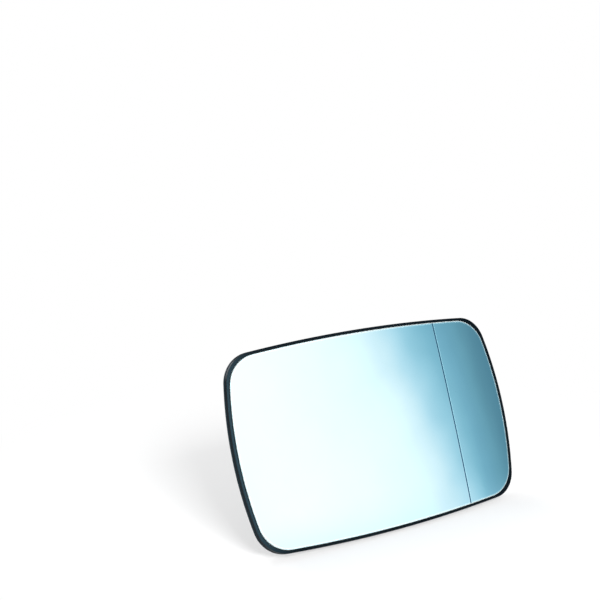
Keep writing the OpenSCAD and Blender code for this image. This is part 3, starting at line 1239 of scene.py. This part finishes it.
tent = {
    "radius": 2.0,
    "steepest": 35.0,  # degrees to the right of straight ahead
    "lean": 0.297,  # how much the fade leans, degrees across per degree up
    "brightest": 2.5,
    "cloudScale": 5.0,  # faint clouds in the fade, and how many degrees they shift it
    "cloudShift": 0.55,
    # degrees across from the steepest place, and the light there
    "fade": ((-215.0, (0.36, 0.38, 0.40)), (-125.0, (0.38, 0.40, 0.42)),
             (-92.0, (0.72, 0.75, 0.77)), (-62.0, (0.88, 0.92, 0.94)),
             (-45.0, (1.05, 1.08, 1.10)), (-30.0, (1.70, 1.68, 1.66)),
             (-16.0, (2.26, 2.20, 2.20)), (-5.0, (2.06, 1.85, 1.85)),
             (-1.0, (1.87, 1.42, 1.30)), (0.8, (1.65, 1.23, 1.09)),
             (1.9, (1.37, 1.12, 1.02)), (3.0, (1.05, 0.98, 0.94)),
             (4.3, (0.74, 0.82, 0.82)), (5.8, (0.49, 0.645, 0.67)),
             (7.6, (0.38, 0.53, 0.57)), (10.3, (0.31, 0.45, 0.48)),
             (14.4, (0.22, 0.335, 0.37)), (22.0, (0.17, 0.28, 0.32)),
             (50.0, (0.40, 0.46, 0.49)), (80.0, (0.62, 0.66, 0.68)),
             (115.0, (0.42, 0.44, 0.46)), (145.0, (0.36, 0.38, 0.40))),
    # degrees up where it starts and is full, and the light there
    "floor": (-5.5, -16.0, (0.98, 0.98, 0.98)),
    "roof": (10.0, 55.0, (0.60, 0.63, 0.65)),
}


def makeTent():
    mesh = bpy.data.meshes.new("lightTent")
    work = bmesh.new()
    bmesh.ops.create_uvsphere(work, u_segments=96, v_segments=48, radius=tent["radius"])
    bmesh.ops.reverse_faces(work, faces=work.faces)
    work.to_mesh(mesh)
    work.free()
    mesh.shade_smooth()
    piece = addToScene("lightTent", mesh)
    tree = stageMaterial(mesh, "lightTent")
    x, y, z = placeParts(tree)
    ahead = calc(tree, "MULTIPLY", y, -1.0)
    across = calc(tree, "DEGREES", calc(tree, "ARCTAN2", x, ahead))
    height = calc(tree, "DIVIDE", z, tent["radius"])
    up = calc(tree, "DEGREES", calc(tree, "ARCSINE", height))
    along = calc(tree, "ADD", calc(tree, "SUBTRACT", across, tent["steepest"]),
                 calc(tree, "MULTIPLY", up, tent["lean"]))
    cloud = noise(tree, tent["cloudScale"], 2.0)
    along = calc(tree, "ADD", along,
                 spread(tree, cloud, -tent["cloudShift"], tent["cloudShift"]))
    first, last = tent["fade"][0][0], tent["fade"][-1][0]
    ramp = addNode(tree, "ShaderNodeValToRGB",
                   {"Fac": remap(tree, along, first, last, 0.0, 1.0)})
    ramp.color_ramp.interpolation = "CARDINAL"
    stops = ramp.color_ramp.elements
    while len(stops) < len(tent["fade"]):
        stops.new(0.5)
    for stop, (degrees, light) in zip(stops, tent["fade"]):
        stop.position = (degrees - first) / (last - first)
        stop.color = (*[c / tent["brightest"] for c in light], 1)
    whole = ramp.outputs["Color"]
    for start, full, light in (tent["floor"], tent["roof"]):
        whole = mixColours(tree, smoothStep(tree, up, start, full), whole,
                           tuple(c / tent["brightest"] for c in light))
    glow = addNode(tree, "ShaderNodeEmission",
                   {"Strength": tent["brightest"], "Color": whole})
    addNode(tree, "ShaderNodeOutputMaterial", {0: glow.outputs[0]})
    for kind in ("camera", "diffuse", "shadow", "transmission"):
        setattr(piece, "visible_" + kind, False)
    piece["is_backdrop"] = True


studio = {
    "sky": (0.97, 0.985, 1.0),
    "skyStrength": 0.36,
    # each lamp's place, size and power; all of them aim at the part
    "frontKey": ((-0.23, -1.26, 0.237), (0.5, 0.5), 15.0),
    "overhead": ((-0.22, 0.16, 1.27), (0.45, 0.45), 4.5),
    "rearTop": ((-0.5, 1.0, 0.9), (1.0, 0.7), 8.0),
}


def makeWorld():
    world = bpy.data.worlds.new("studio")
    bpy.context.scene.world = world
    world.use_nodes = True
    tree = world.node_tree
    tree.nodes.clear()
    soft = addNode(tree, "ShaderNodeBackground", {
        "Color": (*studio["sky"], 1), "Strength": studio["skyStrength"]})
    white = addNode(tree, "ShaderNodeBackground", {"Color": (1, 1, 1, 1)})
    both = mixShaders(tree, seenRays(tree), soft.outputs[0], white.outputs[0])
    addNode(tree, "ShaderNodeOutputWorld", {0: both})


def addLamp(name):
    place, size, power = studio[name]
    data = bpy.data.lights.new(name, "AREA")
    data.shape = "RECTANGLE"
    data.size, data.size_y = size
    data.energy = power
    lamp = addToScene(name, data)
    lamp.location = place
    lamp.rotation_mode = "QUATERNION"
    lamp.rotation_quaternion = (-Vector(place)).to_track_quat("-Z", "Y")
    return lamp


makeTable()
makeTent()
makeWorld()
addLamp("frontKey").visible_glossy = False
addLamp("overhead")
addLamp("rearTop")
print("studio set")
